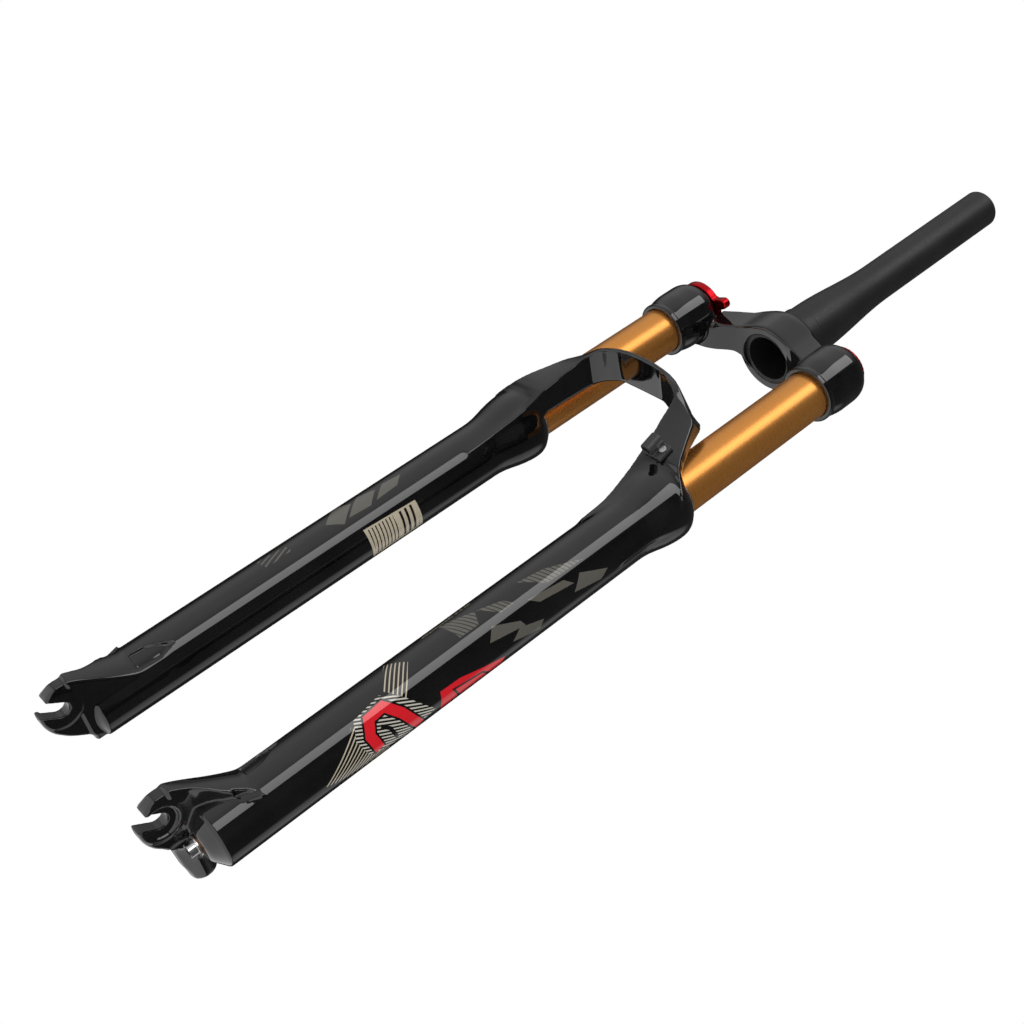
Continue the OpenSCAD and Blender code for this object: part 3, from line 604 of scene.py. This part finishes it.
def guide_piece(name, field, axes):
    piece = surface(name, field, axes, (0, 0, 0), 45)
    turn = Quaternion((1, 0, 0), GUIDE_TILT)
    shift = Vector(tuple(GUIDE_ORIGIN + np.array(AXLE_FRAME))) * MM
    piece.data.transform(Matrix.Translation(shift) @ turn.to_matrix().to_4x4())
    piece.data.update()
    return piece


def build_guide():
    fine = 0.3
    xs, ys, zs = np.arange(-8.5, 8.5, fine), np.arange(-1.2, 11, fine), np.arange(-7.5, 6, fine)
    x, y, z = crossed(xs, ys, zs)
    base = within(np.abs(x + 0.8) - 6.5, np.abs(y - 1.04) - 1.2, np.abs(z + 0.8) - 5.6)
    rho = np.hypot(x - 2.6, y - 5.2)
    ring = smooth_max(rho - 4.45, np.abs(z + 0.8) - 5.55, 0.7)
    lug = np.maximum(np.abs(x + 0.6) - 2.2, np.abs(y - 4.0) - 2.2)
    lug = smooth_max(lug, np.abs(z - 1.5) - 2.6, 0.8)
    field = smooth_min(smooth_max(base, -9.0 - x, 0.5), ring, 1.4)
    field = smooth_min(field, lug, 0.8)
    field = smooth_max(field, 2.72 - rho, 0.4)
    from_screw = np.hypot(x + 4.7, z)
    head = np.maximum(from_screw - 2.45, 2.24 - y)
    field = within(field, -head, 1.54 - from_screw)
    return guide_piece("hose_clamp", field, (xs, ys, zs))


# ---------- materials ----------

MIX_A, MIX_B, MIX_RESULT = 6, 7, 2  # the colour sockets of a mix node


class Nodes:
    """Short-hand for building a node material."""

    def __init__(self, name):
        self.material = bpy.data.materials.new(name)
        self.material.use_nodes = True
        self.tree = self.material.node_tree
        self.tree.nodes.clear()
        self.shader = self.add("ShaderNodeBsdfPrincipled")
        output = self.add("ShaderNodeOutputMaterial")
        self.join(self.shader.outputs[0], output.inputs["Surface"])
        self.place = self.add("ShaderNodeTexCoord").outputs["Object"]

    def add(self, kind, **values):
        node = self.tree.nodes.new(kind)
        for key, value in values.items():
            setattr(node, key, value)
        return node

    def join(self, a, b):
        self.tree.links.new(a, b)

    def feed(self, socket, value):
        if isinstance(value, bpy.types.NodeSocket):
            self.join(value, socket)
        else:
            socket.default_value = value

    def maths(self, operation, a, b=0.0, c=0.0):
        node = self.add("ShaderNodeMath", operation=operation)
        for socket, value in zip(node.inputs, (a, b, c)):
            self.feed(socket, value)
        return node.outputs[0]

    def scaled(self, factors):
        node = self.add("ShaderNodeMapping")
        self.join(self.place, node.inputs["Vector"])
        node.inputs["Scale"].default_value = factors
        return node.outputs[0]

    def noise(self, scale, detail=3.0, roughness=0.5, vector=None):
        node = self.add("ShaderNodeTexNoise")
        self.join(vector or self.place, node.inputs["Vector"])
        node.inputs["Scale"].default_value = scale
        node.inputs["Detail"].default_value = detail
        node.inputs["Roughness"].default_value = roughness
        return node.outputs["Fac"]

    def ramp(self, value, low, high, out_low=0.0, out_high=1.0):
        node = self.add("ShaderNodeMapRange")
        self.join(value, node.inputs["Value"])
        node.inputs["From Min"].default_value = low
        node.inputs["From Max"].default_value = high
        node.inputs["To Min"].default_value = out_low
        node.inputs["To Max"].default_value = out_high
        return node.outputs["Result"]

    def mix(self, factor, a, b):
        node = self.add("ShaderNodeMix", data_type="RGBA")
        self.feed(node.inputs["Factor"], factor)
        for socket, value in ((MIX_A, a), (MIX_B, b)):
            linked = isinstance(value, bpy.types.NodeSocket)
            self.feed(node.inputs[socket], value if linked else (*value, 1.0))
        return node.outputs[MIX_RESULT]

    def bump(self, height, strength, distance):
        node = self.add("ShaderNodeBump")
        node.inputs["Strength"].default_value = strength
        node.inputs["Distance"].default_value = distance
        self.join(height, node.inputs["Height"])
        self.join(node.outputs["Normal"], self.shader.inputs["Normal"])

    def set(self, **values):
        for key, value in values.items():
            socket = self.shader.inputs[key.replace("_", " ")]
            if isinstance(value, tuple) and len(value) == 3 and socket.type == "RGBA":
                value = (*value, 1.0)
            self.feed(socket, value)
        return self


LEG_PRINT_R = 19.0


def polar(n, side, facing):
    """Arc length round a leg from the side it faces (x sign) and height above the axle, in mm."""
    split = n.add("ShaderNodeSeparateXYZ")
    n.join(n.place, split.inputs[0])
    dx = n.maths("SUBTRACT", split.outputs[0], side * LEG_X * MM)
    dy = n.maths("SUBTRACT", split.outputs[1], STANCHION_OFFSET * MM)
    angle = n.maths("ARCTAN2", dy, n.maths("MULTIPLY", dx, facing))
    arc = n.maths("MULTIPLY", angle, LEG_PRINT_R)
    height = n.maths("MULTIPLY_ADD", split.outputs[2], 1.0 / MM, AXLE_TO_CROWN)
    on_side = n.maths("GREATER_THAN", n.maths("MULTIPLY", split.outputs[0], side), 0.0)
    return arc, height, on_side


def half_plane(n, u, v, a, b, c):
    """1 where a*u + b*v + c > 0, with a soft edge."""
    value = n.maths("ADD", n.maths("MULTIPLY", u, a), n.maths("MULTIPLY_ADD", v, b, c))
    return n.ramp(value, -0.06, 0.06)


def convex(n, u, v, corners):
    """Mask of a convex outline given by its corners in counter-clockwise order."""
    mask = None
    for (ax, ay), (bx, by) in zip(corners, corners[1:] + corners[:1]):
        length = math.hypot(bx - ax, by - ay)
        nx, ny = -(by - ay) / length, (bx - ax) / length
        side = half_plane(n, u, v, nx, ny, -(nx * ax + ny * ay))
        mask = side if mask is None else n.maths("MULTIPLY", mask, side)
    return mask


def stripes(n, u, v, angle, pitch, fill):
    """1 on parallel lines at the given angle."""
    a, b = math.cos(math.radians(angle)), math.sin(math.radians(angle))
    run = n.maths("ADD", n.maths("MULTIPLY", u, a), n.maths("MULTIPLY", v, b))
    phase = n.maths("FRACT", n.maths("DIVIDE", n.maths("ADD", run, 1000.0), pitch))
    distance = n.maths("ABSOLUTE", n.maths("SUBTRACT", phase, 0.5))
    return n.ramp(distance, fill / 2 + 0.04, fill / 2 - 0.04)


def gloss_black(name, graphics):
    n = Nodes(name)
    wear = n.noise(90, 4, 0.6)
    patches = n.ramp(n.noise(35, 3, 0.55), 0.35, 0.7)
    tint = n.mix(patches, (0.0020, 0.0020, 0.0022), (0.0040, 0.0040, 0.0044))
    colour, metal = tint, 0.0
    if graphics:
        colour, metal = decals(n, tint)
    scratches = n.noise(60, 6, 0.7, n.scaled((40, 40, 2)))
    rough = n.maths("ADD", n.ramp(wear, 0.3, 0.8, 0.045, 0.085),
                    n.ramp(scratches, 0.62, 0.75, 0.0, 0.05))
    n.bump(n.noise(120, 2, 0.5), 0.012, 0.0004)
    return n.set(Base_Color=colour, Metallic=metal, Roughness=rough, IOR=1.5,
                 Coat_Weight=0.6, Coat_Roughness=0.03).material


def ribbon(path, width):
    """Quads that make a band of even width along a bent path, their joints mitred."""
    p = np.array(path, dtype=float)
    sides = []
    for i in range(len(p)):
        before = p[i] - p[i - 1] if i else p[1] - p[0]
        after = p[i + 1] - p[i] if i < len(p) - 1 else before
        na, nb = [np.array([-d[1], d[0]]) / np.linalg.norm(d) for d in (before, after)]
        miter = (na + nb) / (1 + na.dot(nb))
        sides.append((p[i] - miter * width / 2, p[i] + miter * width / 2))
    return [[tuple(sides[i][0]), tuple(sides[i + 1][0]), tuple(sides[i + 1][1]), tuple(sides[i][1])]
            for i in range(len(p) - 1)]


def decals(n, base):
    """Generic line work: hatched bands, a bent red ribbon, slashes and a plain striped label."""
    champagne, silver, taupe = (0.42, 0.37, 0.28), (0.46, 0.44, 0.38), (0.085, 0.08, 0.068)
    red, black = (0.56, 0.010, 0.018), (0.003, 0.003, 0.003)
    colour = base
    printed = 0.0

    def lay(mask, paint, on_side):
        nonlocal colour, printed
        mask = n.maths("MULTIPLY", mask, on_side)
        colour = n.mix(mask, colour, paint)
        printed = n.maths("MAXIMUM", mask, printed)

    def hatch(u, v, corners, angle, pitch, fill, paint, on_side):
        area = convex(n, u, v, corners)
        lay(n.maths("MULTIPLY", area, stripes(n, u, v, angle, pitch, fill)), paint, on_side)

    # left leg, from its outer side
    u, v, left = polar(n, -1, -1)
    hatch(u, v, [(13, 134), (23.5, 126), (39, 138), (29, 147.5)], -48, 2.3, 0.32, champagne, left)
    hatch(u, v, [(-6.5, 88), (-1.5, 75), (18, 101), (10, 112), (-10, 116)], -34, 2.1, 0.34,
          champagne, left)
    badge = [(-2, 103), (10, 99), (20, 104), (23, 123), (16, 132), (4, 141), (-4, 147), (-9, 126)]
    lay(convex(n, u, v, badge), black, left)
    hatch(u, v, badge, 28, 1.9, 0.44, silver, left)
    bend = [(-3, 109.5), (8, 107), (16, 111), (17, 121), (8, 128), (-8, 136)]
    for band, paint in ((8.0, black), (5.8, red)):
        for quad in ribbon(bend, band):
            lay(convex(n, u, v, quad), paint, left)
    for quad in ribbon([(-4, 121), (5, 118.5), (9, 114.5)], 2.2):
        lay(convex(n, u, v, quad), black, left)
    lay(convex(n, u, v, [(-8, 150), (4.5, 152), (4, 166), (-4, 196), (-8, 194)]), red, left)
    for quad in ribbon([(-8, 163), (0, 160), (-3, 180), (-8, 184)], 1.4):
        lay(convex(n, u, v, quad), black, left)
    # slashes climbing towards the arch
    slashes = [[(22, 178), (38, 175), (30, 195), (22, 191)],
               [(20, 205), (30, 196), (25, 211), (20, 215)],
               [(10, 190), (17, 196), (10, 212), (6, 214)],
               [(18, 238), (29, 225), (26, 242), (17, 265)],
               [(12, 228), (17, 222), (14, 247), (9, 252)],
               [(2, 203), (7, 210), (2, 226), (-3, 222)],
               [(4, 250), (12, 258), (4, 276), (0, 270)]]
    for corners in slashes:
        lay(convex(n, u, v, corners), taupe, left)
    for corners in slashes[:2] + slashes[3:4]:
        hatch(u, v, corners, 63, 2.4, 0.25, black, left)
    # right leg, from its outer side
    u, v, right = polar(n, 1, 1)
    hatch(u, v, [(24, 137), (34, 139), (33, 157), (27, 157)], 24, 3.4, 0.34, taupe, right)
    for corners in ([(19, 197), (31, 184), (38, 193), (27, 206)],
                    [(24, 212), (36, 198), (37, 214), (28, 224)],
                    [(27, 230), (36, 219), (35, 236), (29, 243)]):
        lay(convex(n, u, v, corners), taupe, right)
    # right leg, from its inner side
    u, v, right = polar(n, 1, -1)
    label = [(-10, 201), (12.4, 200), (10.6, 239), (-10, 240)]
    lay(convex(n, u, v, label), champagne, right)
    hatch(u, v, [(-8.5, 203), (11, 202), (10.4, 221), (-8.5, 222)], 92, 2.6, 0.3, black, right)
    hatch(u, v, [(-8.5, 225), (10, 224.5), (9.6, 237), (-8.5, 237.5)], 92, 4.0, 0.42, black, right)
    return colour, n.maths("MULTIPLY", printed, 0.12)


def gold(name):
    n = Nodes(name)
    fine = n.noise(30, 5, 0.65, n.scaled((4, 4, 220)))
    broad = n.noise(9, 3, 0.5, n.scaled((1, 1, 3)))
    colour = n.mix(n.ramp(fine, 0.3, 0.7), (0.70, 0.275, 0.058), (0.80, 0.34, 0.080))
    colour = n.mix(n.ramp(broad, 0.35, 0.65, 0.0, 0.25), colour, (0.84, 0.39, 0.10))
    n.bump(fine, 0.10, 0.0002)
    return n.set(Base_Color=colour, Metallic=0.88, Roughness=n.ramp(fine, 0.25, 0.75, 0.24, 0.34),
                 Anisotropic=0.35).material


def matte_black(name, low, high, rough, grain, strength):
    n = Nodes(name)
    speck = n.noise(grain, 3, 0.6)
    broad = n.noise(25, 3, 0.5)
    colour = n.mix(n.ramp(broad, 0.3, 0.7), low, high)
    n.bump(speck, strength, 0.0003)
    return n.set(Base_Color=colour,
                 Roughness=n.ramp(speck, 0.3, 0.7, rough - 0.06, rough + 0.08)).material


def metal(name, low, high, rough, brushed=(1, 1, 1), grain=120, strength=0.08):
    n = Nodes(name)
    lines = n.noise(grain, 4, 0.6, n.scaled(brushed))
    broad = n.noise(40, 3, 0.5)
    colour = n.mix(n.ramp(lines, 0.3, 0.7), low, high)
    n.bump(lines, strength, 0.0002)
    return n.set(Base_Color=colour, Metallic=1.0,
                 Roughness=n.maths("ADD", n.ramp(lines, 0.3, 0.7, rough - 0.05, rough + 0.05),
                                   n.ramp(broad, 0.3, 0.7, 0.0, 0.06))).material


def porous(name):
    n = Nodes(name)
    cells = n.add("ShaderNodeTexVoronoi")
    n.join(n.place, cells.inputs["Vector"])
    cells.inputs["Scale"].default_value = 900
    depth = cells.outputs["Distance"]
    # the pits between the cells are painted darker than the cell walls: painted shade in the pores
    colour = n.mix(n.ramp(depth, 0.1, 0.6), (0.05, 0.045, 0.038), (0.16, 0.15, 0.12))
    n.bump(depth, 0.8, 0.0006)
    return n.set(Base_Color=colour, Roughness=0.95).material


MATERIALS = {
    "gloss_black": gloss_black("gloss_black_paint", False),
    "gloss_black_graphics": gloss_black("gloss_black_graphics", True),
    "gold_anodised": gold("gold_anodised_tube"),
    "steerer_matte": matte_black("matte_black_steerer", (0.006, 0.006, 0.0065),
                                 (0.010, 0.010, 0.0105), 0.46, 700, 0.12),
    "black_anodised": metal("black_anodised", (0.02, 0.02, 0.021), (0.035, 0.035, 0.037), 0.35,
                            (1, 1, 30)),
    "red_anodised": metal("red_anodised", (0.50, 0.008, 0.014), (0.62, 0.014, 0.022), 0.26,
                          (1, 1, 60), 200, 0.1),
    "bare_aluminium": metal("bare_aluminium", (0.62, 0.62, 0.64), (0.76, 0.76, 0.78), 0.16,
                            (1, 1, 80)),
    "piston_metal": metal("piston_metal", (0.62, 0.52, 0.2), (0.74, 0.64, 0.28), 0.3, (1, 1, 40)),
    "steel": metal("brushed_steel", (0.5, 0.5, 0.51), (0.64, 0.64, 0.65), 0.24, (1, 1, 20)),
    "spring_steel": metal("spring_steel", (0.36, 0.36, 0.37), (0.5, 0.5, 0.5), 0.34),
    "chrome_bolt": metal("chrome_bolt", (0.78, 0.78, 0.79), (0.88, 0.88, 0.89), 0.1, (1, 1, 6),
                         300, 0.05),
    "brass": metal("brass", (0.62, 0.45, 0.17), (0.74, 0.56, 0.24), 0.26, (1, 1, 20)),
    "copper": metal("copper", (0.20, 0.11, 0.07), (0.30, 0.17, 0.11), 0.38),
    "rubber": matte_black("rubber_black", (0.008, 0.008, 0.008), (0.016, 0.016, 0.016), 0.55,
                          1500, 0.2),
    "foam": porous("oiled_foam"),
    "bushing": matte_black("bushing_lining", (0.13, 0.12, 0.1), (0.22, 0.2, 0.16), 0.5, 1200, 0.2),
    "black_plastic": matte_black("black_plastic", (0.022, 0.022, 0.023), (0.034, 0.034, 0.035),
                                 0.36, 1600, 0.12),
}


def dress(piece, body, slot, nodes, material=None):
    piece.data.materials.clear()
    piece.data.materials.append(MATERIALS[material or slot])
    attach(piece, body)
    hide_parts(*nodes)


dress(build_lowers(), "lowers", "gloss_black", ["lowers"], "gloss_black_graphics")
dress(build_crown(), "crown_steerer", "gloss_black", ["crown"])
dress(build_steerer(), "crown_steerer", "steerer_matte", ["steerer_tube"])
dress(build_stanchion("stanchion_tube_right", 1), "crown_steerer", "gold_anodised", ["stanchion_right"])
dress(build_stanchion("stanchion_tube_left", -1), "crown_steerer", "gold_anodised", ["stanchion_left"])
dress(build_seal("dust_wiper_right", 1), "lowers", "rubber", ["wiper_seal_right"])
dress(build_seal("dust_wiper_left", -1), "lowers", "rubber", ["wiper_seal_left"])
dress(build_knob(), "lockout", "red_anodised", ["lockout_knob"])
dress(build_air_cap(), "air_cap", "red_anodised", ["air_valve_cap"])
dress(build_guide(), "lowers", "black_plastic", ["hose_guide"])

slot_of = {part["node"]: part["material_slot"] for part in frame["record"]["subparts"]}
for node_name, node in frame["nodes"].items():
    node.data.materials.clear()
    node.data.materials.append(MATERIALS[slot_of[node_name]])


# ---------- floor, light and camera ----------

CAMERA_PLACE = Vector((-0.52209, 0.54532, -0.61863))
CAMERA_TURN = Quaternion((-0.407892, 0.077015, 0.842957, 0.342223))
LENS_MM, SENSOR_MM = 47.66, 36.0
TARGET = Vector((0.0, 0.02, -0.20))
FLOOR_Z, FLOOR_HALF = -0.72, 1.2


def build_floor():
    n = Nodes("pale_floor")
    broad = n.noise(3, 3, 0.5)
    colour = n.mix(n.ramp(broad, 0.3, 0.7), (0.84, 0.84, 0.84), (0.88, 0.88, 0.88))
    n.set(Base_Color=colour, Roughness=0.7)
    mesh = bpy.data.meshes.new("floor")
    corners = [(-1, -1), (1, -1), (1, 1), (-1, 1)]
    mesh.from_pydata([(FLOOR_HALF * a, FLOOR_HALF * b, FLOOR_Z) for a, b in corners], [],
                     [(0, 1, 2, 3)])
    mesh.materials.append(n.material)
    floor = bpy.data.objects.new("floor", mesh)
    bpy.context.scene.collection.objects.link(floor)


# Soft lights seen in reflections: their way from the camera (right, up, forward), brightness, and
# the cosines where the light starts and where it is full
SOFT_LIGHTS = [
    ((-0.02, 1.0, -0.10), 0.60, 0.42, 0.97),
    ((-1.0, 0.1, -0.35), 0.08, 0.30, 0.95),
    ((0.95, -0.25, 0.1), 0.04, 0.2, 1.0),
    ((0.56, -0.80, 0.50), 0.40, 0.93, 0.99),
    ((0.1, -0.2, -1.0), 0.10, 0.6, 1.0),
]
AMBIENT = 0.02


def build_world():
    """White to the camera and for soft fill; reflections see a few soft lights on a dark room."""
    world = bpy.data.worlds.new("studio")
    bpy.context.scene.world = world
    world.use_nodes = True
    tree = world.node_tree
    tree.nodes.clear()

    def add(kind, **values):
        node = tree.nodes.new(kind)
        for key, value in values.items():
            setattr(node, key, value)
        return node

    direction = add("ShaderNodeTexCoord").outputs["Generated"]
    total = None
    for toward, brightness, start, full in SOFT_LIGHTS:
        right, up, forward = toward
        axis = (CAMERA_TURN @ Vector((right, up, -forward))).normalized()
        dot = add("ShaderNodeVectorMath", operation="DOT_PRODUCT")
        tree.links.new(direction, dot.inputs[0])
        dot.inputs[1].default_value = axis
        lobe = add("ShaderNodeMapRange", interpolation_type="SMOOTHSTEP")
        tree.links.new(dot.outputs["Value"], lobe.inputs["Value"])
        lobe.inputs["From Min"].default_value = start
        lobe.inputs["From Max"].default_value = full
        lobe.inputs["To Max"].default_value = brightness
        if total is None:
            total = lobe.outputs["Result"]
        else:
            join = add("ShaderNodeMath", operation="ADD")
            tree.links.new(total, join.inputs[0])
            tree.links.new(lobe.outputs["Result"], join.inputs[1])
            total = join.outputs[0]
    room = add("ShaderNodeMath", operation="ADD")
    tree.links.new(total, room.inputs[0])
    room.inputs[1].default_value = AMBIENT
    paths = add("ShaderNodeLightPath")
    choose = add("ShaderNodeMix", data_type="FLOAT")
    tree.links.new(paths.outputs["Is Glossy Ray"], choose.inputs[0])
    choose.inputs[2].default_value = 1.0
    tree.links.new(room.outputs[0], choose.inputs[3])
    background = add("ShaderNodeBackground")
    tree.links.new(choose.outputs[0], background.inputs["Strength"])
    background.inputs["Color"].default_value = (1, 1, 1, 1)
    output = add("ShaderNodeOutputWorld")
    tree.links.new(background.outputs[0], output.inputs["Surface"])


def area_light(name, direction, across, distance, size, power):
    """A soft rectangle that shines at the target; directions are (right, up, back) of the camera."""
    light = bpy.data.lights.new(name, "AREA")
    light.shape = "RECTANGLE"
    light.size, light.size_y = size
    light.energy = power
    lamp = bpy.data.objects.new(name, light)
    bpy.context.scene.collection.objects.link(lamp)
    toward = (CAMERA_TURN @ Vector(direction)).normalized()
    side = CAMERA_TURN @ Vector(across)
    side = (side - toward * side.dot(toward)).normalized()
    lamp.location = TARGET + toward * distance
    lamp.rotation_mode = "QUATERNION"
    lamp.rotation_quaternion = Matrix((side, toward.cross(side), toward)).transposed().to_quaternion()


def build_camera():
    data = bpy.data.cameras.new("camera")
    data.lens = LENS_MM
    data.sensor_width = SENSOR_MM
    data.clip_start, data.clip_end = 0.01, 100.0
    camera = bpy.data.objects.new("camera", data)
    bpy.context.scene.collection.objects.link(camera)
    camera.location = CAMERA_PLACE
    camera.rotation_mode = "QUATERNION"
    camera.rotation_quaternion = CAMERA_TURN
    bpy.context.scene.camera = camera


build_floor()
build_world()
build_camera()
area_light("strip_softbox", direction=(0.47, 0.62, 0.62), across=(0.57, -0.82, 0.0),
           distance=1.8, size=(0.85, 2.4), power=14)
bpy.context.scene.view_settings.view_transform = "Standard"
